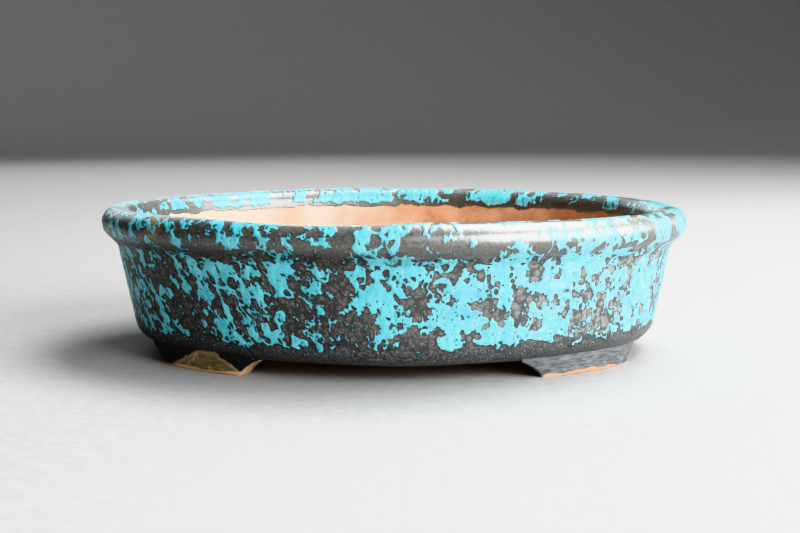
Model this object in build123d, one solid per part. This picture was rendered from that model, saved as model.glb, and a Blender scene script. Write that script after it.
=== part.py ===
from build123d import *
import math
import os

# A small oval stoneware bonsai pot, built by hand from rolled clay: a floor slab, two wall
# strips stood on it, two rolled strips that make the rim, a coil pressed into the inside
# corner, and four bracket feet. Lengths are in millimetres and angles in degrees. +Z is up,
# X runs along the oval, the front faces -Y, and the origin is under the middle of the pot
# on the surface that it stands on.

# ---- driving dimensions ----
rim_length = 180.0
rim_width = 139.0
pot_height = 44.5
end_radius = 58.0  # of the outermost line of the rim, round each end of the oval
wall_lean = 10.3  # the wall opens outwards by this angle as it rises
wall_thickness = 5.5  # measured level, through the leaning wall
floor_thickness = 5.2
foot_height = 4.8
rim_overhang = 4.9  # level, from the top of the wall out to the rim's outermost line

# rolled rim
roll_radius = 4.4  # outer side of the roll
lip_radius = 4.0  # inner side of the roll
cove_radius = 4.0  # hollow under the roll, where it runs into the wall
throat_lean = 45.0  # of the short slope between the roll and the cove

# coil in the inside corner
coil_radius = 6.0  # of its hollow face
coil_edge = 0.3  # thickness that the pressed coil keeps at its two edges

# bracket feet
foot_inset = 11.5  # from the rim's outermost line to the top of a foot's outer face
foot_depth = 7.6  # across the top of a foot
foot_outer_taper = 0.8  # the outer face leans in by this much on the way down
foot_inner_taper = 0.6
foot_arris_radius = 0.8  # worn edges along the ground
foot_far_bearing = 31.0  # from the X axis to the foot's end nearer the end of the oval
foot_near_bearing = 68.0  # from the X axis to the foot's end nearer the middle of the pot
foot_far_undercut = 3.2  # each end is cut away under itself by this much at the ground
foot_near_undercut = 7.0
foot_end_hollow = 0.7  # depth of the curve in a cut end

# holes in the floor
drain_radius = 7.5
drain_x = 30.0
wire_hole_radius = 2.0
wire_hole_x = 46.0
wire_hole_y = 22.0

cut_margin = 1.0  # a cutter stands out of what it cuts by this much

# ---- the oval ----
# The rim's outermost line is four arcs, each tangent to the next. Places along it are given
# by bearing, the direction of its outward normal, counted from +X towards +Y.
half_length = rim_length / 2
half_width = rim_width / 2
side_radius = half_length**2 - rim_length * end_radius + half_width**2
side_radius /= rim_width - 2 * end_radius
end_centre_x = half_length - end_radius
side_centre_y = side_radius - half_width
corner_bearing = math.degrees(math.atan2(side_centre_y, end_centre_x))
full_turn = (-corner_bearing, 360 - corner_bearing)

# ---- the section ----
# A section is drawn with x as the distance out from the outermost line, so that x is
# negative all through the clay, and y as the height above the ground.
lean_sin = math.sin(math.radians(wall_lean))
lean_cos = math.cos(math.radians(wall_lean))
floor_top = foot_height + floor_thickness


def on_circle(centre, radius, degrees):
    """The point of a circle at an angle from its x direction."""
    turn = math.radians(degrees)
    return Vector(centre.X + radius * math.cos(turn), centre.Y + radius * math.sin(turn))


# The roll, then down the throat, then the cove, whose foot is where the wall takes over.
throat = Vector(math.sin(math.radians(throat_lean)), math.cos(math.radians(throat_lean)))
throat_out = Vector(throat.Y, -throat.X)
roll_centre = Vector(-roll_radius, pot_height - roll_radius)
throat_top = roll_centre + throat_out * roll_radius
throat_foot_x = -rim_overhang + cove_radius * (lean_cos - throat.Y)
throat_foot = throat_top - throat * ((throat_top.X - throat_foot_x) / throat.X)
cove_centre = throat_foot + throat_out * cove_radius
rim_seam = on_circle(cove_centre, cove_radius, 180 - wall_lean).Y


def wall_outside(height):
    """x of the wall's outer face at a height."""
    return -rim_overhang - (rim_seam - height) * lean_sin / lean_cos


def wall_inside(height):
    """x of the wall's inner face at a height."""
    return wall_outside(height) - wall_thickness


# The floor's rounded edge is one arc, from the wall's outer face round to the underside.
edge_radius = floor_thickness / (1 - lean_sin)
edge_centre = Vector(wall_outside(floor_top) - edge_radius * lean_cos, foot_height + edge_radius)


def arc(centre, radius, first, last):
    """The arc of a circle from one angle to another."""
    turns = (first, (first + last) / 2, last)
    return ThreePointArc(*(on_circle(centre, radius, turn) for turn in turns))


# ---- carrying a section round the oval ----
def oval_arcs(start, end):
    """Centre x, centre y, radius, first and last bearing of each arc from start to end."""
    whole = [
        (end_centre_x, 0, end_radius, -corner_bearing, corner_bearing),
        (0, -side_centre_y, side_radius, corner_bearing, 180 - corner_bearing),
        (-end_centre_x, 0, end_radius, 180 - corner_bearing, 180 + corner_bearing),
        (0, side_centre_y, side_radius, 180 + corner_bearing, 360 - corner_bearing),
    ]
    found = []
    for turn in (-360, 0, 360):
        for x, y, radius, first, last in whole:
            low = max(start, first + turn)
            high = min(end, last + turn)
            if high > low:
                found.append((x, y, radius, low, high))
    return sorted(found, key=lambda piece: piece[3])


def standing_plane(x, y, radius, bearing):
    """The upright plane across the oval at a bearing. Its x is outwards and its y is up."""
    turn = math.radians(bearing)
    outwards = Vector(math.cos(turn), math.sin(turn), 0)
    backwards = Vector(math.sin(turn), -math.cos(turn), 0)
    return Plane(origin=Vector(x, y, 0) + outwards * radius, x_dir=outwards, z_dir=backwards)


def swept(section, start, end):
    """A section carried round the oval from one bearing to another."""
    runs = []
    for x, y, radius, low, high in oval_arcs(start, end):
        face = standing_plane(x, y, radius, low) * section
        runs.append(revolve(face, Axis((x, y, 0), (0, 0, 1)), revolution_arc=high - low))
    if len(runs) == 1:
        return runs[0]
    return runs[0].fuse(*runs[1:]).clean()


def level_oval(inset):
    """The level oval face that lies inside the outermost line by an inset."""
    edges = []
    for x, y, radius, low, high in oval_arcs(*full_turn):
        edges.append(CenterArc((x, y), radius - inset, low, high - low))
    return make_face(edges)


# ---- floor slab, with a rounded edge, drain holes and tie-wire holes ----
def floor_slab():
    edge = make_face(
        [
            arc(edge_centre, edge_radius, 270, 360 - wall_lean),
            Polyline(
                (wall_outside(floor_top), floor_top),
                (edge_centre.X, floor_top),
                (edge_centre.X, foot_height),
            ),
        ]
    )
    middle = Pos(0, 0, foot_height) * extrude(level_oval(-edge_centre.X), floor_thickness)
    slab = middle.fuse(swept(edge, *full_turn)).clean()
    half_up = foot_height + floor_thickness / 2
    drain = Cylinder(drain_radius, floor_thickness + 2 * cut_margin)
    wire_hole = Cylinder(wire_hole_radius, floor_thickness + 2 * cut_margin)
    for x in (-1, 1):
        slab -= Pos(x * drain_x, 0, half_up) * drain
        for y in (-1, 1):
            slab -= Pos(x * wire_hole_x, y * wire_hole_y, half_up) * wire_hole
    return slab


# ---- wall strips, stood on the slab and joined at the two ends of the oval ----
def wall_section():
    return make_face(
        Polyline(
            (wall_outside(floor_top), floor_top),
            (wall_outside(rim_seam), rim_seam),
            (wall_inside(rim_seam), rim_seam),
            (wall_inside(floor_top), floor_top),
            close=True,
        )
    )


# ---- rolled rim strips, joined at the middle of the front and of the back ----
def rim_section():
    lip_height = pot_height - lip_radius
    lip_centre = Vector(wall_inside(lip_height) + lip_radius / lean_cos, lip_height)
    lip_foot = on_circle(lip_centre, lip_radius, 180 - wall_lean)
    return make_face(
        [
            arc(roll_centre, roll_radius, -throat_lean, 90),
            Line(on_circle(roll_centre, roll_radius, 90), on_circle(lip_centre, lip_radius, 90)),
            arc(lip_centre, lip_radius, 90, 180 - wall_lean),
            Polyline(lip_foot, (wall_inside(rim_seam), rim_seam), (wall_outside(rim_seam), rim_seam)),
            arc(cove_centre, cove_radius, 180 - wall_lean, 180 - throat_lean),
            Line(throat_foot, throat_top),
        ]
    )


# ---- coil pressed into the corner between the floor and the wall ----
def coil_section():
    corner = Vector(wall_inside(floor_top), floor_top)
    reach = coil_radius / math.tan(math.radians(90 + wall_lean) / 2)
    floor_end = corner - Vector(reach, 0)
    wall_end = corner + Vector(lean_sin, lean_cos) * reach
    hollow_centre = floor_end + Vector(0, coil_radius)
    hollow_radius = coil_radius - coil_edge
    wall_edge = on_circle(hollow_centre, hollow_radius, 360 - wall_lean)
    floor_edge = on_circle(hollow_centre, hollow_radius, 270)
    return make_face(
        [
            arc(hollow_centre, hollow_radius, 270, 360 - wall_lean),
            Polyline(wall_edge, wall_end, corner, floor_end, floor_edge),
        ]
    )


# ---- bracket feet, scribed to the slab's rounded edge ----
def foot_section():
    scribe_end = 270 + math.degrees(math.asin((-foot_inset - edge_centre.X) / edge_radius))
    outer_foot = Vector(-foot_inset - foot_outer_taper, 0)
    inner_top = Vector(-foot_inset - foot_depth, foot_height)
    inner_foot = Vector(inner_top.X + foot_inner_taper, 0)
    outline = make_face(
        [
            arc(edge_centre, edge_radius, 270, scribe_end),
            Polyline(
                on_circle(edge_centre, edge_radius, scribe_end),
                outer_foot,
                inner_foot,
                inner_top,
                (edge_centre.X, foot_height),
            ),
        ]
    )
    ground_corners = outline.vertices().filter_by(lambda corner: abs(corner.Y) < 1e-6)
    return fillet(ground_corners, foot_arris_radius)


def end_cutter(bearing, side, undercut):
    """What is cut away under a foot's end. side is 1 where the foot lies at larger bearings."""
    x, y, radius, _, _ = oval_arcs(bearing, bearing + 1)[0]
    turn = math.radians(bearing)
    along = Vector(-math.sin(turn), math.cos(turn), 0) * side
    start = standing_plane(x, y, radius, bearing).origin
    into_foot = Vector(foot_height, undercut).normalized()
    middle = Vector(undercut, foot_height) / 2 + into_foot * foot_end_hollow
    waste = make_face(
        [
            ThreePointArc((0, foot_height), middle, (undercut, 0)),
            Polyline(
                (undercut, 0),
                (undercut, -cut_margin),
                (-cut_margin, -cut_margin),
                (-cut_margin, foot_height),
                (0, foot_height),
            ),
        ]
    )
    across = Plane(origin=start, x_dir=along, z_dir=along.cross(Vector(0, 0, 1)))
    return extrude(across * waste, end_radius, both=True)


def foot(quarter):
    """The foot in a quarter of the oval, counted from 0 at the back right, +X towards +Y."""
    if quarter % 2 == 0:
        start = 90 * quarter + foot_far_bearing
        end = 90 * quarter + foot_near_bearing
        start_undercut, end_undercut = foot_far_undercut, foot_near_undercut
    else:
        start = 90 * (quarter + 1) - foot_near_bearing
        end = 90 * (quarter + 1) - foot_far_bearing
        start_undercut, end_undercut = foot_near_undercut, foot_far_undercut
    block = swept(foot_section(), start, end)
    return block - end_cutter(start, 1, start_undercut) - end_cutter(end, -1, end_undercut)


parts = {
    "floor_slab": floor_slab(),
    "wall_strip_back": swept(wall_section(), 0, 180),
    "wall_strip_front": swept(wall_section(), 180, 360),
    "rim_roll_right": swept(rim_section(), -90, 90),
    "rim_roll_left": swept(rim_section(), 90, 270),
    "inner_corner_coil": swept(coil_section(), *full_turn),
    "foot_back_right": foot(0),
    "foot_back_left": foot(1),
    "foot_front_left": foot(2),
    "foot_front_right": foot(3),
}

os.makedirs("parts", exist_ok=True)
for name, shape in parts.items():
    export_step(shape, f"parts/{name}.step")
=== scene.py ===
"""The looks of a small oval bonsai pot with a mottled glaze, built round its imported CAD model.

Lengths are in metres in the meshes, and in millimetres in the glaze pattern, as its names say.
"""
import math

import bmesh
import bpy
import numpy as np
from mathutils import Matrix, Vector
from mathutils.geometry import delaunay_2d_cdt


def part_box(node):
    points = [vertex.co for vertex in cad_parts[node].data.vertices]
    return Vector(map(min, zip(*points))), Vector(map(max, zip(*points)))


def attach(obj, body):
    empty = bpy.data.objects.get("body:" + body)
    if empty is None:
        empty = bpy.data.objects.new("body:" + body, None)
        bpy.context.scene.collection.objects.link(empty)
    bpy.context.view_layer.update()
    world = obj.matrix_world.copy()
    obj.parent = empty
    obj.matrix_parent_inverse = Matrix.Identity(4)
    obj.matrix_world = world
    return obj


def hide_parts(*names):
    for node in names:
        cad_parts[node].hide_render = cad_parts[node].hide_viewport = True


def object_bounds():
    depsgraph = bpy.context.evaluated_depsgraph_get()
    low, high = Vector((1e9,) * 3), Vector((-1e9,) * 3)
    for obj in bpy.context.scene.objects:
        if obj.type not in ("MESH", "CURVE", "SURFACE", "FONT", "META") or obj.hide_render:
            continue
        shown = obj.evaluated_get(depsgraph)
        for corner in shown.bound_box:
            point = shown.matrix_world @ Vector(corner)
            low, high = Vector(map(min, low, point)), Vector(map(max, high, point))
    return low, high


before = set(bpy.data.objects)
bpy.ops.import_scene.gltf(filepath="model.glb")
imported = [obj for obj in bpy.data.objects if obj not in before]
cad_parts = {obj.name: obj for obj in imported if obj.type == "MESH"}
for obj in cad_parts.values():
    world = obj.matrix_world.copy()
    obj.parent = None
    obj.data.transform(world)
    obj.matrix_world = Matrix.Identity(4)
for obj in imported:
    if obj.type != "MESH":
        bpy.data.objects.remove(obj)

MM = 0.001
QUARTER = math.pi / 2
HALF_TURN = math.pi

# ---- the pot's shape, read from the CAD model where it can be ----
cad_low, cad_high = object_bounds()
wall_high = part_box("wall_strip_front")[1]
floor_low, floor_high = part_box("floor_slab")

end_radius = 58 * MM  # of the outermost line, round each end of the oval
rim_overhang = 4.9 * MM  # level, from the top of the wall out to the rim's outermost line
wall_lean = math.radians(10.3)
wall_thickness = 5.5 * MM
roll_radius = 4.4 * MM
lip_radius = 4.0 * MM
cove_radius = 4.0 * MM
throat_lean = math.radians(45)
coil_radius = 6.0 * MM
coil_edge = 0.2 * MM  # how thick the coil's pressed edges stay
coil_press = 0.4 * MM  # how far the coil's back is pressed into the clay
finger_dents = 27  # pressed into the coil, all the way round
finger_depth = 0.45 * MM
finger_drift = 1.9  # in radians, how far they stray from even spacing
hole_wear = 0.5 * MM  # radius of a hole's worn edges
hole_relief = 0.5  # the share of the pot's relief on a hole's side
drain_holes = [(x, 0.0, 7.5 * MM) for x in (-30 * MM, 30 * MM)]
wire_holes = [(x, y, 2.0 * MM) for x in (-46 * MM, 46 * MM) for y in (-22 * MM, 22 * MM)]
holes = drain_holes + wire_holes  # x, y and radius

half_length = wall_high.x + rim_overhang
half_width = cad_high.y
pot_height = cad_high.z
rim_seam = wall_high.z
floor_top = floor_high.z
foot_height = floor_low.z

# feet
foot_inset = 11.5 * MM
foot_depth = 7.6 * MM
foot_outer_taper = 0.8 * MM
foot_inner_taper = 0.6 * MM
foot_far_bearing = math.radians(31)
foot_near_bearing = math.radians(68)
foot_far_undercut = 3.2 * MM
foot_near_undercut = 7.0 * MM
front_left_undercut = 6.0 * MM  # its far end is cut away more deeply
foot_end_hollow = 0.7 * MM
foot_bulge = 1.0 * MM  # of the outer face, where the clay was pressed on
foot_bulge_fade = 0.4  # the share of the bulge that is gone at the top
foot_bulge_fullness = 0.8  # below 1, the bulge reaches nearer to the ends
foot_bury = 0.8 * MM  # how far a foot's top is pressed into the floor
foot_flat_below = 0.12 * MM  # points below it are put on the ground
foot_relief_from = 1.2 * MM  # a foot takes all of the relief above this height

# ---- how fine the meshes are ----
fine_step = 0.34 * MM  # on what shows from outside
plain_step = 0.7 * MM  # on bare clay inside
joint_step = 1.5 * MM  # on faces that are hidden in a joint
floor_step = 1.1 * MM
floor_margin = 0.7 * floor_step  # between the slab's inner points and its edges
hole_mouth = 0.9 * hole_wear  # triangles nearer a hole than this are left out
foot_voxel = 0.3  # in millimetres
foot_wear_rounds = 14  # of smoothing, which wear a foot's arrises

# ---- the oval: four tangent arcs, with places given by the bearing of the outward normal ----
side_radius = half_length**2 - 2 * half_length * end_radius + half_width**2
side_radius /= 2 * (half_width - end_radius)
end_centre_x = half_length - end_radius
side_centre_y = side_radius - half_width
corner_bearing = math.atan2(side_centre_y, end_centre_x)


def oval_centre(bearing):
    """Centre x, centre y and radius of the outermost line's arc at each bearing."""
    bearing = np.asarray(bearing, float)
    folded = np.abs((bearing + QUARTER) % math.pi - QUARTER)
    on_end = folded <= corner_bearing + 1e-9
    x = np.where(on_end, end_centre_x * np.sign(np.cos(bearing)), 0.0)
    y = np.where(on_end, 0.0, -side_centre_y * np.sign(np.sin(bearing)))
    return x, y, np.where(on_end, end_radius, side_radius)


def oval_place(bearing, out):
    """x and y at a distance out from the outermost line. out is negative inside it."""
    x, y, radius = oval_centre(bearing)
    return x + (radius + out) * np.cos(bearing), y + (radius + out) * np.sin(bearing)


def oval_out(x, y):
    """How far a point is out from the outermost line."""
    x, y = np.abs(x), np.abs(y)
    by_side = y * end_centre_x > (x - end_centre_x) * side_centre_y
    from_side = np.hypot(x, y + side_centre_y) - side_radius
    return np.where(by_side, from_side, np.hypot(x - end_centre_x, y) - end_radius)


def stations(start, end, step=fine_step):
    """Bearings from start to end, about a step apart, with one wherever two arcs meet."""
    corners = [k * math.pi + side * corner_bearing for k in range(-2, 4) for side in (-1, 1)]
    breaks = [start, *sorted(c for c in corners if start + 1e-6 < c < end - 1e-6), end]
    found = [np.array([start])]
    for low, high in zip(breaks, breaks[1:]):
        radius = float(oval_centre((low + high) / 2)[2])
        count = max(1, math.ceil((high - low) * radius / step))
        found.append(np.linspace(low, high, count + 1)[1:])
    return np.concatenate(found)


# ---- sections: x is the distance out from the outermost line, z the height ----
class Stretch:
    """Points along a section, each with the way its surface faces, how much relief it takes and
    its run: how far it is from the crest, in millimetres, negative on the inside."""

    def __init__(self, points, facing, relief=1.0, run=0.0):
        self.points = np.asarray(points, float)
        self.facing = np.asarray(facing, float)
        self.relief = np.broadcast_to(relief, len(self.points)).astype(float)
        self.run = np.broadcast_to(run, len(self.points)).astype(float)

    def __getitem__(self, part):
        return Stretch(self.points[part], self.facing[part], self.relief[part], self.run[part])

    def after(self, upper, side):
        """The same stretch, with its run counted on from the end of the stretch above it."""
        steps = np.linalg.norm(np.diff(self.points, axis=0), axis=1)
        down = np.concatenate([[0.0], np.cumsum(steps)]) / MM
        start = upper.run[-1] if upper else 0.0
        return Stretch(self.points, self.facing, self.relief, start + side * down)


def stacked(*stretches):
    """Stretches one after another, with every point kept."""
    fields = ("points", "facing", "relief", "run")
    return Stretch(*(np.concatenate([getattr(s, field) for s in stretches]) for field in fields))


def joined(first, *rest):
    """Stretches end to end, each starting where the one before it ended."""
    return stacked(first, *(stretch[1:] for stretch in rest))


def arc(centre, radius, first, last, step, hollow=False):
    count = max(3, math.ceil(abs(last - first) * radius / step) + 1)
    turn = np.linspace(first, last, count)
    spoke = np.stack([np.cos(turn), np.sin(turn)], 1)
    return Stretch(centre + spoke * radius, -spoke if hollow else spoke)


def line(start, end, facing, step):
    start, end = np.asarray(start, float), np.asarray(end, float)
    count = max(2, math.ceil(np.linalg.norm(end - start) / step) + 1)
    share = np.linspace(0, 1, count)[:, None]
    return Stretch(start + (end - start) * share, np.tile(facing, (count, 1)))


def joint(start, end):
    """The points between two ends of a face that is hidden in a joint."""
    hidden = line(start, end, (0.0, 0.0), joint_step)[1:-1]
    hidden.relief[:] = 0
    return hidden


def wall_outside(height):
    return np.array([-rim_overhang - (rim_seam - height) * math.tan(wall_lean), height])


def wall_inside(height):
    return wall_outside(height) - np.array([wall_thickness, 0])


wall_out = np.array([math.cos(wall_lean), -math.sin(wall_lean)])
wall_up = np.array([math.sin(wall_lean), math.cos(wall_lean)])
throat_up = np.array([math.sin(throat_lean), math.cos(throat_lean)])
throat_out = np.array([math.cos(throat_lean), -math.sin(throat_lean)])
roll_centre = np.array([-roll_radius, pot_height - roll_radius])
throat_top = roll_centre + throat_out * roll_radius
throat_foot_x = -rim_overhang + cove_radius * (wall_out[0] - throat_out[0])
throat_foot = throat_top - throat_up * (throat_top[0] - throat_foot_x) / throat_up[0]
cove_centre = throat_foot + throat_out * cove_radius
lip_centre = wall_inside(pot_height - lip_radius) + np.array([lip_radius / wall_out[0], 0])
edge_radius = (floor_top - foot_height) / (1 - math.sin(wall_lean))
edge_centre = wall_outside(floor_top) - wall_out * edge_radius

roll = arc(roll_centre, roll_radius, QUARTER, -throat_lean, fine_step).after(None, 1)
throat = line(throat_top, throat_foot, throat_out, fine_step).after(roll, 1)
cove = arc(cove_centre, cove_radius, math.pi - throat_lean, math.pi - wall_lean, fine_step, True)
cove = cove.after(throat, 1)
outer_wall = line(wall_outside(rim_seam), wall_outside(floor_top), wall_out, fine_step).after(cove, 1)
floor_edge = arc(edge_centre, edge_radius, 2 * math.pi - wall_lean, 1.5 * math.pi, fine_step)
floor_edge = floor_edge.after(outer_wall, 1)
crest = line((-roll_radius, pot_height), (lip_centre[0], pot_height), (0, 1), fine_step).after(None, -1)
lip = arc(lip_centre, lip_radius, QUARTER, math.pi - wall_lean, fine_step).after(crest, -1)
inner_rim = line(lip.points[-1], wall_inside(rim_seam), -wall_out, fine_step).after(lip, -1)
inner_wall = line(wall_inside(rim_seam), wall_inside(floor_top), -wall_out, plain_step)
inner_wall = inner_wall.after(inner_rim, -1)

rim_skin = joined(joined(roll, throat, cove)[::-1], crest, lip, inner_rim)
rim_section = stacked(rim_skin, joint(rim_skin.points[-1], rim_skin.points[0]))
wall_foot_joint = joint(outer_wall.points[-1], inner_wall.points[-1])
wall_top_joint = joint(inner_wall.points[0], outer_wall.points[0])
wall_section = stacked(outer_wall, wall_foot_joint, inner_wall[::-1], wall_top_joint)

# The runs of places that aren't on the outer or inner skin, far from every run that is.
COIL_RUN = -40.0
FLOOR_RUN = -50.0
UNDERSIDE_RUN = 60.0
FOOT_RUN = 80.0


# ---- making meshes ----
def new_piece(name, points, faces, outward, relief, run):
    """A closed mesh whose points keep what its relief and its finish are worked out from."""
    mesh = bpy.data.meshes.new(name)
    mesh.from_pydata(points.tolist(), [], faces)
    kept = {"place": points / MM, "outward": outward, "relief": relief, "run": run}
    for key, values in kept.items():
        kind, field = ("FLOAT_VECTOR", "vector") if values.ndim == 2 else ("FLOAT", "value")
        layer = mesh.attributes.new(key, kind, "POINT")
        layer.data.foreach_set(field, np.ascontiguousarray(values, np.float32).ravel())
    shell = bmesh.new()
    shell.from_mesh(mesh)
    bmesh.ops.recalc_face_normals(shell, faces=shell.faces)
    shell.to_mesh(mesh)
    shell.free()
    mesh.shade_smooth()
    mesh.set_sharp_from_angle(angle=math.radians(50))
    piece = bpy.data.objects.new(name, mesh)
    bpy.context.scene.collection.objects.link(piece)
    return piece


def swept_arrays(section, bearing):
    """Points and outward directions of a section at each bearing."""
    x, y = oval_place(bearing[:, None], section.points[None, :, 0])
    points = np.stack([x, y, np.broadcast_to(section.points[:, 1], x.shape)], -1)
    across, up = section.facing[:, 0], section.facing[:, 1]
    outward_x = across * np.cos(bearing)[:, None]
    outward_y = across * np.sin(bearing)[:, None]
    outward = np.stack([outward_x, outward_y, np.broadcast_to(up, x.shape)], -1)
    return points.reshape(-1, 3), outward.reshape(-1, 3)


def grid_faces(rows, columns, rows_close, columns_close, start=0):
    """Quads of a grid of points, which may close on itself either way."""
    row = np.arange(rows if rows_close else rows - 1)[:, None]
    column = np.arange(columns if columns_close else columns - 1)[None, :]
    next_row, next_column = (row + 1) % rows, (column + 1) % columns
    corners = [(row, column), (next_row, column), (next_row, next_column), (row, next_column)]
    return (start + np.stack([r * columns + c for r, c in corners], -1).reshape(-1, 4)).tolist()


def swept_strip(name, section, start, end):
    """A section carried part of the way round the oval, with a flat end each way."""
    bearing = stations(start, end)
    points, outward = swept_arrays(section, bearing)
    rows, columns = len(bearing), len(section.points)
    faces = grid_faces(rows, columns, False, True)
    faces += [list(range(columns)), list(range((rows - 1) * columns, rows * columns))]
    relief, run = np.tile(section.relief, rows), np.tile(section.run, rows)
    return new_piece(name, points, faces, outward, relief, run)


# ---- coil, pressed into the corner with a fingertip ----
def coil_piece(name):
    corner = wall_inside(floor_top)
    reach = coil_radius / math.tan((QUARTER + wall_lean) / 2)
    hollow_centre = corner + np.array([-reach, coil_radius])
    face_radius = coil_radius - coil_edge
    face_top = 2 * math.pi - wall_lean
    face = arc(hollow_centre, face_radius, 1.5 * math.pi, face_top, plain_step, True)
    press_down = np.array([0, -coil_press])
    back = [
        corner + wall_up * reach + wall_out * coil_press,
        corner + wall_out * coil_press + press_down,
        corner - np.array([reach, 0]) + press_down,
    ]
    section = stacked(face, Stretch(back, np.zeros((3, 2)), 0.0))
    middle = np.concatenate([np.sin(np.linspace(0, math.pi, len(face.points))), np.zeros(3)])
    bearing = stations(0, 2 * math.pi, plain_step)[:-1]
    points, outward = swept_arrays(section, bearing)
    drift = finger_drift * np.sin(5 * bearing)
    dents = 0.5 + 0.5 * np.cos(finger_dents * bearing + drift)
    depth = finger_depth * (dents[:, None] * middle).reshape(-1, 1)
    points = points - outward * depth
    rows, columns = len(bearing), len(section.points)
    faces = grid_faces(rows, columns, True, True)
    run = np.full(rows * columns, COIL_RUN)
    return new_piece(name, points, faces, outward, np.tile(middle, rows), run)


# ---- floor slab ----
def floor_lattice():
    """Points all over the slab, clear of its edge and its holes."""
    rows = np.arange(-half_width, half_width, floor_step * math.sin(math.pi / 3))
    columns = np.arange(-half_length, half_length, floor_step)
    x, y = np.meshgrid(columns, rows)
    x[::2] += floor_step / 2
    x, y = x.ravel(), y.ravel()
    clear = oval_out(x, y) < edge_centre[0] - floor_margin
    for hole_x, hole_y, radius in holes:
        clear &= np.hypot(x - hole_x, y - hole_y) > radius + hole_wear + floor_margin
    return np.stack([x[clear], y[clear]], 1)


def hole_block(hole_x, hole_y, radius):
    """A hole's side: its points, outward directions, relief and runs, then its rows and columns."""
    worn = radius + hole_wear
    top = arc((worn, floor_top - hole_wear), hole_wear, QUARTER, math.pi, hole_wear / 3)
    bottom = arc((worn, foot_height + hole_wear), hole_wear, math.pi, 1.5 * math.pi, hole_wear / 3)
    side = joined(top, line(top.points[-1], bottom.points[0], (-1, 0), plain_step), bottom)
    rows, columns = math.ceil(2 * math.pi * radius / plain_step), len(side.points)
    turn = np.linspace(0, 2 * math.pi, rows, endpoint=False)
    spoke = np.stack([np.cos(turn), np.sin(turn), np.zeros(rows)], 1)[:, None, :]
    upright = np.array([0, 0, 1.0])
    points = spoke * side.points[None, :, :1] + upright * side.points[None, :, 1:]
    points += np.array([hole_x, hole_y, 0])
    outward = spoke * side.facing[None, :, :1] + upright * side.facing[None, :, 1:]
    relief, run = np.full(rows * columns, hole_relief), np.full(rows * columns, FLOOR_RUN)
    return (points.reshape(-1, 3), outward.reshape(-1, 3), relief, run), (rows, columns)


def slab_triangles(loops, lattice):
    """Triangles of a flat face from its outer loop, the loops round its holes and its points."""
    edges = []
    start = 0
    for loop in loops:
        end = start + len(loop)
        edges += [(i, i + 1) for i in range(start, end - 1)]
        edges.append((end - 1, start))
        start = end
    flat = np.concatenate([*loops, lattice]) / MM
    triangles = delaunay_2d_cdt([Vector(p) for p in flat], edges, [], 0, 1e-5)[2]
    triangles = np.array(triangles)
    middle = flat[triangles].mean(1) * MM
    solid = np.ones(len(triangles), bool)
    for hole_x, hole_y, radius in holes:
        off_axis = np.hypot(middle[:, 0] - hole_x, middle[:, 1] - hole_y)
        solid &= off_axis > radius + hole_mouth
    return triangles[solid]


def floor_piece(name):
    bearing = stations(0, 2 * math.pi)[:-1]
    points, outward = swept_arrays(floor_edge, bearing)
    rows, columns = len(bearing), len(floor_edge.points)
    blocks = [(points, outward, np.tile(floor_edge.relief, rows), np.tile(floor_edge.run, rows))]
    sizes = [(rows, columns)]
    for hole in holes:
        block, size = hole_block(*hole)
        blocks.append(block)
        sizes.append(size)
    faces, top_loops, bottom_loops = [], [], []
    total = 0
    for rows, columns in sizes:
        faces += grid_faces(rows, columns, True, False, total)
        top_loops.append(total + np.arange(rows) * columns)
        bottom_loops.append(total + np.arange(rows) * columns + columns - 1)
        total += rows * columns
    lattice = floor_lattice()
    count = len(lattice)
    for height, up, run in ((floor_top, 1.0, FLOOR_RUN), (foot_height, -1.0, UNDERSIDE_RUN)):
        points = np.column_stack([lattice, np.full(count, height)])
        facing = np.tile((0, 0, up), (count, 1))
        blocks.append((points, facing, np.ones(count), np.full(count, run)))
    points, outward, relief, run = (np.concatenate(field) for field in zip(*blocks))
    # The top and the underside have the same triangles, worked out on the underside.
    triangles = slab_triangles([points[loop, :2] for loop in bottom_loops], lattice)
    for loops, start in ((top_loops, total), (bottom_loops, total + count)):
        index = np.concatenate([*loops, start + np.arange(count)])
        faces += index[triangles].tolist()
    return new_piece(name, points, faces, outward, relief, run)


# ---- feet ----
def end_cut(height, undercut):
    """How far a foot's end is cut back at a height, along an arc from the floor in to the ground."""
    chord = math.hypot(foot_height, undercut)
    radius = (chord**2 / 4 + foot_end_hollow**2) / (2 * foot_end_hollow)
    back = (radius - foot_end_hollow) / chord
    centre_x, centre_z = undercut / 2 - foot_height * back, foot_height / 2 - undercut * back
    return centre_x + np.sqrt(radius**2 - (np.clip(height, 0, foot_height) - centre_z) ** 2)


def foot_place(side_x, side_y, far_undercut, along, up, across):
    """A point of a foot. Along it from its far end, up it and across it each go from 0 to 1."""
    x_top = -foot_inset - foot_depth * across
    x_ground = x_top - foot_outer_taper * (1 - across) + foot_inner_taper * across
    scribed = np.clip((x_top - edge_centre[0]) / edge_radius, 0, 1)
    top = foot_height + edge_radius * (1 - np.sqrt(1 - scribed**2)) + foot_bury
    height = up * top
    out = x_ground + (x_top - x_ground) * up
    fullness = np.sin(math.pi * along) ** foot_bulge_fullness
    out = out + foot_bulge * (1 - across) * (1 - foot_bulge_fade * up) * fullness
    far = foot_far_bearing + end_cut(height, far_undercut) / (end_radius + out)
    near = foot_near_bearing - end_cut(height, foot_near_undercut) / (side_radius + out)
    x, y = oval_place(far + (near - far) * along, out)
    return np.stack([side_x * x, side_y * y, height], -1)


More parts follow.
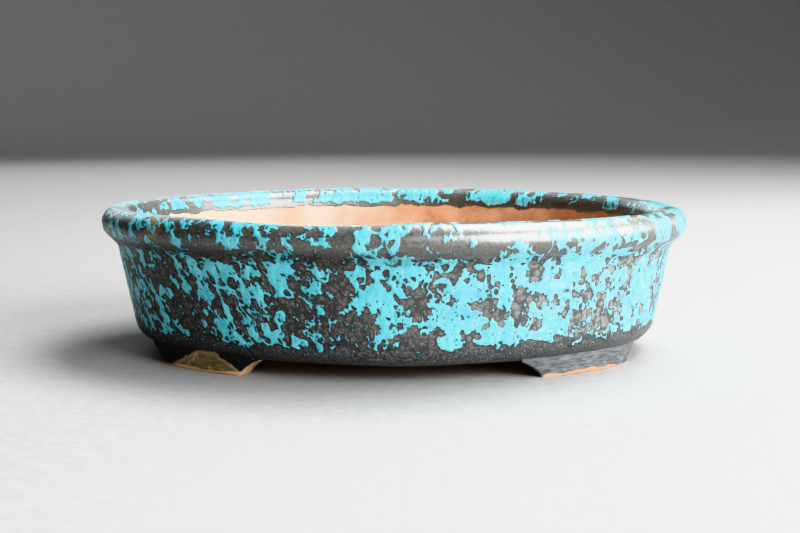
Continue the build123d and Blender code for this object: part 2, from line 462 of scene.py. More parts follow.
def worn_block(faces_of_points):
    """Grids of points that close a block, remeshed with worn arrises, in millimetres."""
    block = bmesh.new()
    for grid in faces_of_points:
        rows, columns = grid.shape[:2]
        corners = [block.verts.new(point) for point in grid.reshape(-1, 3) / MM]
        for quad in grid_faces(rows, columns, False, False):
            block.faces.new([corners[i] for i in quad])
    bmesh.ops.remove_doubles(block, verts=block.verts, dist=0.001)
    bmesh.ops.recalc_face_normals(block, faces=block.faces)
    mesh = bpy.data.meshes.new("block")
    block.to_mesh(mesh)
    block.free()
    rough = bpy.data.objects.new("block", mesh)
    bpy.context.scene.collection.objects.link(rough)
    remesh = rough.modifiers.new("remesh", "REMESH")
    remesh.mode = "VOXEL"
    remesh.voxel_size = foot_voxel
    wear = rough.modifiers.new("wear", "SMOOTH")
    wear.factor = 0.5
    wear.iterations = foot_wear_rounds
    depsgraph = bpy.context.evaluated_depsgraph_get()
    worn = bpy.data.meshes.new_from_object(rough.evaluated_get(depsgraph))
    bpy.data.objects.remove(rough)
    return worn


def foot_piece(name, side_x, side_y, far_undercut=foot_far_undercut):
    counts = {"along": 60, "up": 14, "across": 14}
    grids = []
    for fixed in counts:
        free = [key for key in counts if key != fixed]
        steps = [np.linspace(0, 1, counts[key]) for key in free]
        shares = dict(zip(free, np.meshgrid(*steps, indexing="ij")))
        for end in (0.0, 1.0):
            shares[fixed] = np.full(shares[free[0]].shape, end)
            grids.append(foot_place(side_x, side_y, far_undercut, **shares))
    worn = worn_block(grids)
    points = np.array([v.co for v in worn.vertices]) * MM
    outward = np.array([v.normal for v in worn.vertices])
    faces = [list(face.vertices) for face in worn.polygons]
    bpy.data.meshes.remove(worn)
    points[:, 2] = np.where(points[:, 2] < foot_flat_below, 0, points[:, 2])
    relief = np.clip(points[:, 2] / foot_relief_from, 0, 1)
    return new_piece(name, points, faces, outward, relief, np.full(len(points), FOOT_RUN))


# ---- node trees: the same arithmetic serves the relief and the materials ----
class Wire:
    """A node's output. Arithmetic on it adds nodes to its tree."""

    def __init__(self, graph, socket):
        self.graph = graph
        self.socket = socket

    def math(self, operation, *others):
        values = dict(enumerate((self, *others)))
        if self.is_vector():
            return self.graph.node("ShaderNodeVectorMath", values, operation=operation)
        return self.graph.node("ShaderNodeMath", values, operation=operation)

    def __add__(self, other):
        return self.math("ADD", other)

    def __sub__(self, other):
        return self.math("SUBTRACT", other)

    def __mul__(self, other):
        by_number = isinstance(other, float) or isinstance(other, Wire) and not other.is_vector()
        if self.is_vector() and by_number:
            values = {0: self, "Scale": other}
            return self.graph.node("ShaderNodeVectorMath", values, operation="SCALE")
        return self.math("MULTIPLY", other)

    def __neg__(self):
        return self * -1.0

    def is_vector(self):
        return self.socket.type in ("VECTOR", "RGBA")

    def dot(self, direction):
        values = {0: self, 1: direction}
        return self.graph.node("ShaderNodeVectorMath", values, "Value", operation="DOT_PRODUCT")

    def at_least(self, other):
        return self.math("MAXIMUM", other)

    def at_most(self, other):
        return self.math("MINIMUM", other)

    def ramp(self, low, high, at_low=0.0, at_high=1.0, easing="SMOOTHSTEP"):
        """Goes from at_low to at_high, and no further, as this goes from low to high."""
        values = {0: self, 1: low, 2: high, 3: at_low, 4: at_high}
        return self.graph.node("ShaderNodeMapRange", values, interpolation_type=easing)


class Graph:
    """A material or geometry tree."""

    def __init__(self, tree):
        self.tree = tree

    def node(self, kind, values, output=0, **settings):
        node = self.tree.nodes.new(kind)
        for key, setting in settings.items():
            setattr(node, key, setting)
        for key, value in values.items():
            self.feed(node.inputs[key], value)
        return Wire(self, node.outputs[output])

    def feed(self, socket, value):
        if isinstance(value, Wire):
            self.tree.links.new(value.socket, socket)
        else:
            socket.default_value = value

    def other(self, wire, output):
        """Another output of the node that a wire comes from."""
        return Wire(self, wire.socket.node.outputs[output])

    def mix(self, factor, first, second):
        """From first to second as factor goes from 0 to 1, for numbers."""
        return self.node("ShaderNodeMix", {0: factor, 2: first, 3: second}, data_type="FLOAT")

    def tint(self, factor, first, second):
        """From first to second as factor goes from 0 to 1, for colours."""
        first, second = ((*c, 1.0) if isinstance(c, tuple) else c for c in (first, second))
        return self.node("ShaderNodeMix", {0: factor, 6: first, 7: second}, 2, data_type="RGBA")

    def noise(self, place, per_mm, detail=1.0, roughness=0.5, seed=0):
        """Smooth noise, mostly within 0.2 of 0."""
        moved = place + (31.7 * seed, -17.3 * seed, 23.9 * seed)
        values = {"Vector": moved, "Scale": per_mm, "Detail": detail, "Roughness": roughness}
        return self.node("ShaderNodeTexNoise", values) - 0.5

    def wander(self, place, per_mm, reach, seed):
        """place, moved about by up to roughly reach."""
        moved = place + (-13.1 * seed, 37.3 * seed, 11.9 * seed)
        values = {"Vector": moved, "Scale": per_mm, "Detail": 1.0}
        shift = self.node("ShaderNodeTexNoise", values, 1) - (0.5, 0.5, 0.5)
        return place + shift * (4.0 * reach)

    def lumps(self, place, size, radius, seed=0):
        """How deep inside the nearest of many round lumps, in millimetres, negative outside.

        The lumps are about size apart. radius(centre, chance) gives a lump's radius, in sizes,
        from where its centre is and a number from 0 to 1 drawn for it."""
        away = (19.1 * seed, 29.3 * seed, -41.7 * seed)
        distance = self.node("ShaderNodeTexVoronoi", {"Vector": place + away, "Scale": 1 / size})
        centre = self.other(distance, "Position") - away
        chance = self.other(distance, "Color").dot((1, 0, 0))
        return (-distance + radius(centre, chance)) * size

    def scattered(self, place, size, share, largest, seed=0):
        """Round lumps like those of lumps(), where only a share of the places has one."""

        def radius(_, chance):
            return chance.ramp(1 - share, 1.0, 0.0, largest, "LINEAR")

        return self.lumps(place, size, radius, seed)


# ---- the glaze: a turquoise glaze that has crawled into patches over a dark one ----
glaze_end_height = 10.6  # the turquoise stops about here on the outside, in millimetres
glaze_end_inside = -8.4  # the run at which all glaze stops on the inside
glaze_end_beneath = 47.5  # and on the underside
roll_end_run = 11.0  # the run at which the roll's larger mottles give way to the wall's
stroke_direction = (0.55, -0.28, -0.78)  # along the strokes at the left of the front
stroke_press = -0.45  # places move together by this share along them, so lumps are drawn out
glaze_thickness = 0.12  # of the dark glaze on the clay, in millimetres
turquoise_thickness = 0.13  # of the turquoise on the dark glaze, in millimetres

# Where the front is darker or more turquoise than elsewhere: x and height in millimetres,
# how far the patch reaches, and how much darker it is.
front_patches = [
    # on the wall
    (-57, 16, 9, 0.20), (-66, 27, 10, 0.20), (-51, 29, 9, -0.10), (-44, 15, 7, 0.04),
    (-46, 30, 7, -0.10), (-34, 22, 9, 0.03), (-33, 15, 6, -0.16), (-29.5, 28, 7, -0.22),
    (-25.5, 29, 4, 0.22), (-30, 18, 9, 0.10), (-20, 28, 7, -0.07), (-13, 26, 7, 0.28),
    (-23, 17, 8, 0.12), (-9, 15, 12, 0.24), (-4, 26, 7.5, -0.26), (-1.5, 17, 4.5, -0.20),
    (4, 27, 6, 0.08), (9, 22, 5, 0.12), (11, 13, 5, 0.10), (17, 19, 10, -0.24),
    (15.5, 24, 3.5, 0.24), (24.5, 24, 3.5, 0.18), (8, 14, 6, 0.10), (24, 28, 8, -0.20),
    (28, 15, 8, -0.22), (35.5, 24, 5.5, 0.24), (34, 14, 7, -0.24), (45, 12, 5, 0.10),
    (44, 23, 4.5, 0.10), (43, 15, 7, -0.14), (39, 31, 4.5, 0.16), (60, 17, 9, 0.14),
    (50, 29, 11, -0.16), (72, 23, 12, -0.16),
    # on the roll, and in the crease below it
    (-75, 40, 14, 0.06), (-62, 39, 6, 0.16), (-50, 39, 10, 0.17), (-38, 39, 3.6, 0.24),
    (-42.5, 40, 3, -0.26), (-34.5, 40, 3, -0.24), (-30.5, 39, 3.6, 0.24), (-24, 39, 4, 0.24),
    (-12, 39, 6, 0.16), (-16, 35.5, 6, 0.26), (-28, 36, 5, -0.16), (5, 35.5, 5, -0.22),
    (16, 35.5, 5, -0.18), (-4, 41.5, 6.5, -0.24), (7.5, 39, 4, 0.20), (14, 43, 6, -0.26),
    (23, 40, 11, 0.26), (37, 41, 7, 0.22), (34, 35.5, 7, -0.36), (50, 40, 8, -0.04),
    (60, 40, 12, -0.08), (76, 38, 12, -0.06),
]
# The same for the inside of the far rim, where x is followed by y, all at one height.
far_patches = [(-52, 54, 30, -0.14), (0, 64, 26, -0.18), (40, 60, 18, -0.14), (66, 46, 22, 0.16)]
far_patch_height = 42
# Places on the front where the glaze is a purer blue or rust brown: x, height and reach.
blue_patches = [(23.0, 44.3, 4.0), (28.0, 44.3, 4.0)]
iron_patch = (-66, 42, 5.5)


def front_point(x, height):
    """The point of the pot's front face at an x and a height, all in millimetres."""
    if height * MM < rim_seam:
        out = wall_outside(height * MM)[0] / MM
    else:
        rise = height - roll_centre[1] / MM
        out = math.sqrt(max((roll_radius / MM) ** 2 - rise**2, 0)) - roll_radius / MM
    side, end = side_radius / MM + out, end_radius / MM + out
    if abs(x) < side * math.cos(corner_bearing):
        return x, side_centre_y / MM - math.sqrt(side**2 - x**2), height
    return x, -math.sqrt(end**2 - (abs(x) - end_centre_x / MM) ** 2), height


class Mottle:
    """The pattern on a piece, from its place and run: fields that colour and relief both use."""

    def __init__(self, graph, place, run):
        self.graph, self.place, self.run = graph, place, run
        self.x, self.y = place.dot((1, 0, 0)), place.dot((0, 1, 0))
        self.height = place.dot((0, 0, 1))
        self.wobble = graph.noise(place, 0.16, 3, 0.6, seed=3)
        self.on_roll = run.ramp(roll_end_run + 1.5, roll_end_run - 1.5)
        # Painted sheen: both glazes are painted paler towards the right of the front, where the light
        # from the right gives a sheen.
        self.pale = self.x.ramp(-25, 75) * self.y.ramp(15, -35)
        self.bias = self.patch_bias()
        self.dark = self.dark_depth()
        self.bare = self.bare_depth()

    def near(self, point, reach):
        """1 at a point, easing to 0 at a distance of reach."""
        values = {0: self.place, 1: point}
        gap = self.graph.node("ShaderNodeVectorMath", values, "Value", operation="DISTANCE")
        return gap.ramp(reach, 0.0)

    def patch_bias(self):
        """How much darker than elsewhere: listed for the front and far rim, seeded noise behind."""
        bias = self.graph.noise(self.place, 0.04, 1, seed=14) * self.y.ramp(-20, 20)
        for *spot, reach, darker in front_patches:
            bias = bias + self.near(front_point(*spot), reach) * darker
        for x, y, reach, darker in far_patches:
            bias = bias + self.near((x, y, far_patch_height), reach) * darker
        return bias

    def clusters(self, per_mm, seed, level, most):
        """How a lump's radius follows from where it is: large in clusters, and none between."""

        def radius(centre, chance):
            cluster = self.graph.noise(centre, per_mm, 2, seed=seed) + self.bias
            winding = self.graph.noise(centre, per_mm * 0.55, seed=seed + 0.5)
            chain = winding.at_least(-winding).ramp(0.065, 0.015)
            spread = cluster * 4.4 + chain * 0.62 + level
            return spread.ramp(0.05, 0.55) * most - 0.1 + chance * 0.25

        return radius

    def combed(self, place):
        """place, pressed together along a slant, so that a pattern on it comes out in strokes."""
        pressed = {0: stroke_direction, "Scale": place.dot(stroke_direction) * stroke_press}
        return place + self.graph.node("ShaderNodeVectorMath", pressed, operation="SCALE")

    def wall_lumps(self, curled):
        """Small lumps in clusters, with some on their own and some holes of turquoise."""
        graph = self.graph
        upright = curled * (1.0, 1.0, 0.86)
        lumps = graph.lumps(upright, 1.55, self.clusters(0.22, 1, 0.11, 0.80), seed=1)
        lumps = lumps.at_least(graph.scattered(upright * (1.0, 1.0, 0.7), 2.4, 0.36, 0.55, seed=2))
        lumps = lumps.at_least(graph.scattered(upright, 1.6, 0.13, 0.42, seed=3))
        return lumps.at_most(-graph.scattered(upright, 2.3, 0.20, 0.36, seed=6))

    def roll_lumps(self, curled):
        """Larger, smoother lumps, as the glaze has run off the crest of the roll."""
        graph = self.graph
        smooth = graph.wander(self.place, 0.20, 0.6, seed=5)
        smooth = graph.wander(smooth, 0.9, 0.16, seed=8) * (1.0, 1.0, 0.70)
        lumps = graph.lumps(smooth, 2.3, self.clusters(0.17, 11, 0.24, 0.82), seed=4)
        return lumps.at_least(graph.scattered(curled, 1.5, 0.30, 0.42, seed=5))

    def stroke_lumps(self, curled):
        """Lumps drawn out along a slant, for the left of the front."""
        combed = self.combed(curled)
        lumps = self.graph.lumps(combed, 1.35, self.clusters(0.36, 1, 0.20, 0.80), seed=1)
        return lumps.at_least(self.graph.scattered(combed, 1.9, 0.34, 0.44, seed=2))

    def dark_depth(self):
        """How deep in the dark glaze, in millimetres, negative in the turquoise."""
        graph = self.graph
        curled = graph.wander(self.place, 0.30, 0.50, seed=2)
        curled = graph.wander(curled, 1.1, 0.09, seed=4)
        dark = graph.mix(self.on_roll, self.wall_lumps(curled), self.roll_lumps(curled))
        strokes = self.x.ramp(-8, -30) * self.y.ramp(0, -40)
        dark = graph.mix(strokes, dark, self.stroke_lumps(curled))
        # The crease under the roll gets more of the dark glaze, most of all at the left: partly dark
        # glaze, partly painted shade.
        crease = self.run.ramp(8.0, 11.0) * self.run.ramp(16.0, 12.5)
        dark = dark + crease * (self.x.ramp(22, -34) * 0.50 + 0.04)
        crest = self.run.ramp(-3.6, -1.6) * self.run.ramp(1.6, 0.0) * self.y.ramp(0, -14)
        dark = dark + crest * self.x.ramp(44, 4) * 0.75
        foot_band = (-self.height + glaze_end_height) + self.wobble * 9.0
        inner_band = (-self.run - 6.9) + self.wobble * 6.0
        dark = dark.at_least(foot_band.at_most(1.5)).at_least(inner_band.at_most(1.5))

        def radius(_, chance):
            return dark * 1.1 + chance * 0.25 + 0.44

        scalloped_edge = graph.lumps(self.place, 0.85, radius, seed=9)
        return dark.at_least(scalloped_edge.at_most(0.3))

    def bare_depth(self):
        """How far into bare clay, in millimetres, negative where there is glaze."""
        inside = -self.run + glaze_end_inside + self.wobble * 4.0
        beneath = self.run - glaze_end_beneath + self.wobble * 4.0
        return inside.at_least(beneath)


def relief_tree():
    """Moves a piece's points along their outward directions, by the pot's uneven surface."""
    tree = bpy.data.node_groups.new("fired_relief", "GeometryNodeTree")
    tree.interface.new_socket("Geometry", in_out="INPUT", socket_type="NodeSocketGeometry")
    tree.interface.new_socket("Geometry", in_out="OUTPUT", socket_type="NodeSocketGeometry")
    graph = Graph(tree)

    def attribute(name, data_type):
        return graph.node("GeometryNodeInputNamedAttribute", {"Name": name}, data_type=data_type)

    place = attribute("place", "FLOAT_VECTOR")
    outward = attribute("outward", "FLOAT_VECTOR")
    relief = attribute("relief", "FLOAT")
    run = attribute("run", "FLOAT")
    mottle = Mottle(graph, place, run)
    glazed = mottle.bare.ramp(0.1, -0.3)
    # In millimetres: sway, dents, ripples, the turquoise's step, grain, the dark glaze's step.
    height = graph.noise(place, 0.022, 0, seed=21) * 1.6
    height = height + graph.noise(place, 0.075, 1, seed=22) * 0.5
    height = height + graph.noise(place, 0.45, 2, seed=23) * 0.10
    turquoise = mottle.dark.ramp(0.12, -0.30) * glazed
    height = height + turquoise * turquoise_thickness
    grain = graph.noise(place, 1.5, 2, 0.6, seed=24)
    height = height + grain * graph.mix(turquoise, 0.12, 0.03)
    height = height + glazed * glaze_thickness
    offset = outward * (height * relief * MM)
    start = tree.nodes.new("NodeGroupInput")
    moved = tree.nodes.new("GeometryNodeSetPosition")
    end = tree.nodes.new("NodeGroupOutput")
    tree.links.new(start.outputs[0], moved.inputs["Geometry"])
    graph.feed(moved.inputs["Offset"], offset)
    tree.links.new(moved.outputs[0], end.inputs[0])
    return tree


def roughen(pieces):
    """Puts the relief into each piece's mesh."""
    tree = relief_tree()
    for piece in pieces:
        modifier = piece.modifiers.new("relief", "NODES")
        modifier.node_group = tree
    depsgraph = bpy.context.evaluated_depsgraph_get()
    for piece in pieces:
        flat = piece.data
        name = flat.name
        finished = bpy.data.meshes.new_from_object(piece.evaluated_get(depsgraph))
        piece.modifiers.clear()
        piece.data = finished
        bpy.data.meshes.remove(flat)
        finished.name = name
    bpy.data.node_groups.remove(tree)


# ---- materials ----
def new_material(name):
    """A material, its graph, its shader and the wires of the place, run and outward attributes."""
    material = bpy.data.materials.new(name)
    material.use_nodes = True
    graph = Graph(material.node_tree)
    shader = material.node_tree.nodes["Principled BSDF"]
    place = graph.node("ShaderNodeAttribute", {}, "Vector", attribute_name="place")
    run = graph.node("ShaderNodeAttribute", {}, "Fac", attribute_name="run")
    outward = graph.node("ShaderNodeAttribute", {}, "Vector", attribute_name="outward")
    return material, graph, shader, place, run, outward


def finish_material(graph, shader, colour, roughness, height):
    """Joins colour, roughness and a height in millimetres to the shader."""
    graph.feed(shader.inputs["Base Color"], colour)
    graph.feed(shader.inputs["Roughness"], roughness)
    normal = graph.node("ShaderNodeBump", {"Height": height, "Distance": MM, "Strength": 1.0})
    graph.feed(shader.inputs["Normal"], normal)


def bare_clay(graph, place, seed, pale, deep):
    """Colour, roughness and height of bare fired clay with grog in it."""
    cloud = graph.noise(place, 0.08, 3, 0.6, seed=seed)
    colour = graph.tint(cloud.ramp(-0.2, 0.2), deep, pale)
    speck = graph.scattered(place, 0.9, 0.45, 0.3, seed=seed + 1)
    colour = graph.tint(speck.ramp(-0.02, 0.1) * 0.75, colour, (0.1, 0.045, 0.025))
    light = graph.scattered(place, 1.3, 0.35, 0.26, seed=seed + 2)
    colour = graph.tint(light.ramp(-0.02, 0.12) * 0.7, colour, (0.7, 0.48, 0.32))
    grit = graph.noise(place, 2.2, 3, 0.6, seed=seed + 3)
    height = grit * 0.1 + speck.ramp(-0.1, 0.1) * 0.03
    return colour, grit * 0.3 + 0.86, height


def dark_glaze(graph, mottle):
    """Colour, roughness and height of the dark glaze, matt and grainy, glossier on the roll."""
    place, dark = mottle.place, mottle.dark
    grain = graph.noise(place, 1.7, 4, 0.7, seed=31)
    cloud = graph.noise(place, 0.25, 2, seed=32)
    brown = graph.tint(grain.ramp(-0.12, 0.15), (0.01, 0.009, 0.009), (0.155, 0.134, 0.121))
    olive = graph.tint(grain.ramp(-0.2, 0.2), (0.02, 0.02, 0.018), (0.108, 0.104, 0.094))
    colour = graph.tint(mottle.on_roll, brown, olive)
    colour = graph.tint(cloud.ramp(0.0, 0.25) * 0.45, colour, (0.12, 0.098, 0.086))
    # Painted sheen: off the roll, the dark glaze is tinted light grey towards the right of the front.
    sheen_off_roll = (-mottle.on_roll + 1.0) * 0.44
    colour = graph.tint(mottle.pale * sheen_off_roll, colour, (0.34, 0.35, 0.35))
    char = (-mottle.height + glaze_end_height + 1.5).ramp(-1.2, 2.0) * mottle.run.ramp(10, 20)
    ash = graph.tint(grain.ramp(-0.1, 0.2), (0.014, 0.014, 0.016), (0.135, 0.134, 0.138))
    colour = graph.tint(char, colour, ash)
    inner = (-mottle.run - 5.5).ramp(-0.8, 0.8)
    colour = graph.tint(inner * 0.7, colour, (0.03, 0.02, 0.014))
    speck = graph.scattered(place, 0.8, 0.4, 0.32, seed=33)
    colour = graph.tint(speck.ramp(0.0, 0.08) * (char * 0.45 + 0.45), colour, (0.38, 0.375, 0.37))
    rust = graph.scattered(place, 1.1, 0.35, 0.36, seed=34)
    colour = graph.tint(rust.ramp(0.0, 0.1) * 0.6, colour, (0.12, 0.042, 0.028))
    outline = graph.mix(mottle.on_roll, dark.ramp(0.8, 0.26) * 0.78, dark.ramp(0.4, 0.05) * 0.6)
    colour = graph.tint(outline, colour, (0.006, 0.006, 0.007))
    *spot, reach = iron_patch
    iron = mottle.near(front_point(*spot), reach).ramp(0.1, 0.7) * grain.ramp(-0.25, 0.2)
    colour = graph.tint(iron * 0.8, colour, (0.33, 0.155, 0.04))
    roughness = graph.mix(mottle.on_roll, grain * 0.5 + 0.46, grain * 0.25 + 0.38)
    height = grain * graph.mix(mottle.on_roll, 0.16, 0.05) + speck.ramp(-0.05, 0.08) * 0.04
    return colour, roughness, height


def turquoise_glaze(graph, mottle):
    """Colour, roughness and height of the turquoise glaze, satin, thinner at its edges."""
    place, dark = mottle.place, mottle.dark
    drips = graph.noise(place * (1.0, 1.0, 0.3), 0.55, 3, 0.55, seed=41)
    cloud = graph.noise(place, 0.12, 2, seed=42)
    colour = graph.tint(drips.ramp(-0.2, 0.2), (0.055, 0.41, 0.5), (0.15, 0.59, 0.66))
    colour = graph.tint(cloud.ramp(0.05, 0.25) * 0.4, colour, (0.03, 0.4, 0.66))
    # Painted sheen: the turquoise is tinted a pale, whitish blue towards the right of the front, in
    # blotches.
    sheen_blotches = graph.noise(place, 0.55, 3, 0.6, seed=44).ramp(-0.05, 0.2) * 0.55 + 0.2
    colour = graph.tint(mottle.pale * sheen_blotches, colour, (0.52, 0.74, 0.78))
    for *spot, reach in blue_patches:
        blue = mottle.near(front_point(*spot), reach).ramp(0.0, 0.4)
        colour = graph.tint(blue * 0.75, colour, (0.02, 0.33, 0.66))
    pit = graph.scattered(place, 1.3, 0.12, 0.18, seed=43)
    colour = graph.tint(pit.ramp(-0.02, 0.06) * 0.8, colour, (0.01, 0.12, 0.16))
    thin = dark.ramp(-0.35, -0.02)
    colour = graph.tint(thin * 0.4, colour, (0.015, 0.22, 0.28))
    roughness = graph.mix(mottle.on_roll, drips * 0.4 + 0.42, drips * 0.4 + 0.3)
    height = drips * 0.05 - pit.ramp(-0.05, 0.08) * 0.06
    return colour, roughness, height


def glazed_material():
    """Both glazes, and the bare clay where they end. The gloss is strongest at the right."""
    material, graph, shader, place, run, _ = new_material("mottled_glaze")
    mottle = Mottle(graph, place, run)
    dark = dark_glaze(graph, mottle)
    turquoise = turquoise_glaze(graph, mottle)
    clay = bare_clay(graph, place, 51, (0.54, 0.295, 0.17), (0.36, 0.165, 0.085))
    # Painted light: the bare clay inside is painted paler towards the left and the back, where the
    # light from the right falls on the inner wall, with some noise.
    painted_inner_light = place.dot((-1, 0.3, 0)) * 0.012 + graph.noise(place, 0.05, 3, 0.6, seed=55) * 1.6
    painted_inner_light = painted_inner_light.ramp(0.0, 0.9) * mottle.run.ramp(-30, -14)
    clay_colour = graph.tint(painted_inner_light, clay[0], (0.8, 0.67, 0.55))
    is_turquoise = mottle.dark.ramp(0.07, -0.07)
    is_bare = mottle.bare.ramp(-0.25, 0.15)
    colour = graph.tint(is_bare, graph.tint(is_turquoise, dark[0], turquoise[0]), clay_colour)
    roughness = graph.mix(is_bare, graph.mix(is_turquoise, dark[1], turquoise[1]), clay[1])
    height = graph.mix(is_bare, graph.mix(is_turquoise, dark[2], turquoise[2] + 0.05), clay[2])
    finish_material(graph, shader, colour, roughness, height)
    coat = graph.mix(mottle.on_roll, 0.35, 0.95) * mottle.x.ramp(-80, 15, 0.3, 1.0)
    coat = graph.mix(is_bare, coat, 0.0)
    graph.feed(shader.inputs["Coat Weight"], coat)
    shader.inputs["Coat Roughness"].default_value = 0.36
    shader.inputs["Coat IOR"].default_value = 1.9
    return material


def foot_material():
    """Dark glaze on the outer face, worn off to tan clay along the ground and under the front left
    foot's ends; painted shade keeps the other ends and the left feet dark.
    """
    material, graph, shader, place, _, outward = new_material("foot_stoneware")
    x, y, height = place.dot((1, 0, 0)), place.dot((0, 1, 0)), place.dot((0, 0, 1))
    wobble = graph.noise(place, 0.3, 3, 0.6, seed=61)
    grain = graph.noise(place * (0.35, 0.35, 1.5), 1.0, 4, 0.62, seed=62)
    ash = graph.tint(grain.ramp(-0.2, 0.24), (0.045, 0.046, 0.05), (0.15, 0.154, 0.165))
    black_glaze_and_shade = graph.tint(grain.ramp(-0.2, 0.2), (0.006, 0.006, 0.006), (0.024, 0.023, 0.023))
    # The feet go from near black at the left to ash grey at the right: partly darker glaze, partly
    # painted shade.
    ash = graph.tint(x.ramp(-44, 24), black_glaze_and_shade, ash)
    speck = graph.scattered(place, 0.8, 0.4, 0.32, seed=63)
    ash = graph.tint(speck.ramp(0.0, 0.08) * 0.6, ash, (0.3, 0.29, 0.28))
    on_front_left = x.ramp(-10, -20) * y.ramp(-10, -20)
    stain_top = (x * -0.66 - 26.7).at_most(x * 0.6 + 39.4)
    stain_top = stain_top.at_most(6.3) - height + wobble * 2.4
    stain = stain_top.ramp(-0.12, 0.12) * on_front_left
    olive = graph.tint(grain.ramp(-0.2, 0.2), (0.075, 0.063, 0.034), (0.2, 0.16, 0.092))
    clay = bare_clay(graph, place, 64, (0.6, 0.37, 0.23), (0.42, 0.23, 0.13))
    rubbed = graph.noise(place, 0.35, 1, seed=65).ramp(0.02, 0.2)
    rubbed = rubbed.at_least(stain_top.ramp(1.6, 0.3) * 0.6)
    olive = graph.tint(rubbed * 0.7, olive, clay[0])
    ash = graph.tint(stain, ash, olive)
    ground_line = -height + 1.0 + wobble * 1.6 + graph.noise(place, 0.07, 1, seed=66) * 3.0
    # Painted shade: the bare line along the ground is cut short at the near end of the right feet.
    shaded_near_end = x.ramp(45, 41) * x.ramp(0, 10)
    ground_line = ground_line - shaded_near_end * 1.2
    facing_down = (-outward.dot((0, 0, 1)) - 0.42) * 3.0 + wobble * 2.0
    # Painted shade: only the front left foot is bare under its ends; the other feet keep their dark
    # glaze there.
    under_end = facing_down - (-on_front_left + 1.0) * 3.0
    bare = ground_line.at_least(under_end).ramp(-0.15, 0.15)
    colour = graph.tint(bare, ash, clay[0])
    roughness = graph.mix(bare, grain * 0.5 + 0.5, clay[1])
    finish_material(graph, shader, colour, roughness, graph.mix(bare, grain * 0.15, clay[2]))
    return material


# ---- the pot ----
glaze = glazed_material()
foot_finish = foot_material()
pot = {
    "floor_slab": floor_piece("floor_slab_fired"),
    "wall_strip_front": swept_strip("wall_front_fired", wall_section, HALF_TURN, 2 * HALF_TURN),
    "wall_strip_back": swept_strip("wall_back_fired", wall_section, 0, HALF_TURN),
    "rim_roll_right": swept_strip("rim_right_fired", rim_section, -QUARTER, QUARTER),
    "rim_roll_left": swept_strip("rim_left_fired", rim_section, QUARTER, 3 * QUARTER),
    "inner_corner_coil": coil_piece("corner_coil_fired"),
    "foot_front_left": foot_piece("foot_front_left_fired", -1, -1, front_left_undercut),
    "foot_front_right": foot_piece("foot_front_right_fired", 1, -1),
    "foot_back_left": foot_piece("foot_back_left_fired", -1, 1),
    "foot_back_right": foot_piece("foot_back_right_fired", 1, 1),
}
roughen(pot.values())
# The glazed material turns to bare clay where the glazes end, so the bare pieces have it too.
slots = {"floor": "bare_stoneware", "inner": "bare_stoneware", "foot": "foot_stoneware"}
for node, piece in pot.items():
    slot = slots.get(node.split("_")[0], "mottled_glaze")
    piece.data.materials.clear()
    piece.data.materials.append(foot_finish if slot == "foot_stoneware" else glaze)
    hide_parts(node)
    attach(piece, "root")


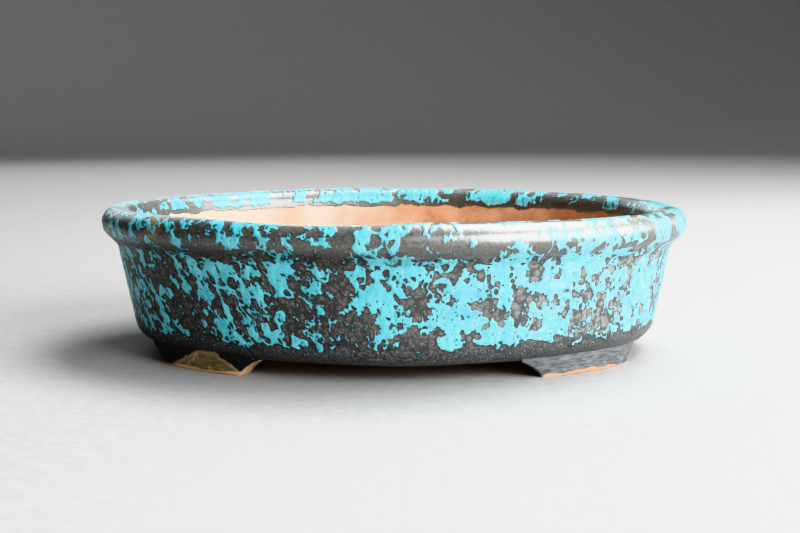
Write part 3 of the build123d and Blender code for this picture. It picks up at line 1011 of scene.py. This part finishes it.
# ---- studio ----
def backdrop():
    """A pale floor that curves up all round into a low wall, so it is plain from every side."""
    flat, cove, top = 1.5, 0.7, 1.7
    turn = np.linspace(-QUARTER, 0, 16)
    curve = [(flat + cove * math.cos(t), cove + cove * math.sin(t)) for t in turn]
    outline = [(0.02, 0.0), (0.4, 0.0), *curve, (flat + cove, top)]
    around = np.linspace(0, 2 * math.pi, 96, endpoint=False)
    points = [(r * math.cos(t), r * math.sin(t), z) for r, z in outline for t in around]
    faces = grid_faces(len(outline), len(around), False, True)
    faces.append(list(range(len(around)))[::-1])
    mesh = bpy.data.meshes.new("backdrop")
    mesh.from_pydata(points, [], faces)
    mesh.shade_smooth()
    sweep = bpy.data.objects.new("backdrop", mesh)
    bpy.context.scene.collection.objects.link(sweep)
    material = bpy.data.materials.new("backdrop_paper")
    material.use_nodes = True
    graph = Graph(material.node_tree)
    shader = material.node_tree.nodes["Principled BSDF"]
    place = graph.node("ShaderNodeTexCoord", {}, "Object")
    fibre = graph.noise(place, 260.0, 3, 0.6, seed=1)
    colour = graph.tint(fibre.ramp(-0.2, 0.2), (0.307, 0.297, 0.297), (0.338, 0.327, 0.327))
    finish_material(graph, shader, colour, fibre * 0.1 + 0.9, fibre * 0.02)
    mesh.materials.append(material)


def softbox(name, place, target, size, watts, colour):
    """A rectangular lamp at a place, turned to its target."""
    light = bpy.data.lights.new(name, "AREA")
    light.shape = "RECTANGLE"
    light.size, light.size_y = size
    light.energy = watts
    light.color = colour
    lamp = bpy.data.objects.new(name, light)
    lamp.location = place
    aim = Vector(target) - Vector(place)
    lamp.rotation_euler = aim.to_track_quat("-Z", "Y").to_euler()
    bpy.context.scene.collection.objects.link(lamp)


def studio():
    """The backdrop, and soft light that comes mostly from the right and above."""
    backdrop()
    softbox("key", (0.71, -0.48, 0.35), (0.02, 0, 0.03), (0.9, 0.6), 24.0, (0.96, 1.0, 0.985))
    softbox("side", (0.95, 0.35, 0.36), (0.02, 0, 0.03), (0.9, 0.5), 4.0, (0.96, 1.0, 0.985))
    softbox("top", (0.38, 0.18, 0.92), (0.02, 0, 0.03), (0.95, 0.5), 22.0, (0.97, 1.0, 0.99))
    softbox("back", (-0.45, 0.95, 0.55), (0, 0, 0.03), (0.9, 0.6), 4.0, (0.97, 0.98, 1.0))
    softbox("front", (0.26, -0.93, 0.46), (0, 0, 0.04), (0.8, 0.3), 2.3, (0.96, 1.0, 0.985))
    world = bpy.data.worlds.new("studio")
    world.use_nodes = True
    background = world.node_tree.nodes["Background"]
    background.inputs["Color"].default_value = (0.92, 0.95, 1.0, 1.0)
    background.inputs["Strength"].default_value = 0.02
    bpy.context.scene.world = world
    bpy.context.scene.view_settings.view_transform = "Khronos PBR Neutral"


def camera():
    """In front of the pot, above its rim and a little to the right of its middle."""
    lens = bpy.data.cameras.new("camera")
    lens.lens = 56.25
    lens.sensor_width = 36.0
    lens.clip_start = 0.01
    view = bpy.data.objects.new("camera", lens)
    view.location = (9.3 * MM, -390.3 * MM, 77.1 * MM)
    view.rotation_euler = (math.radians(90 - 7.62), 0, math.radians(1.13))
    bpy.context.scene.collection.objects.link(view)
    bpy.context.scene.camera = view


studio()
camera()
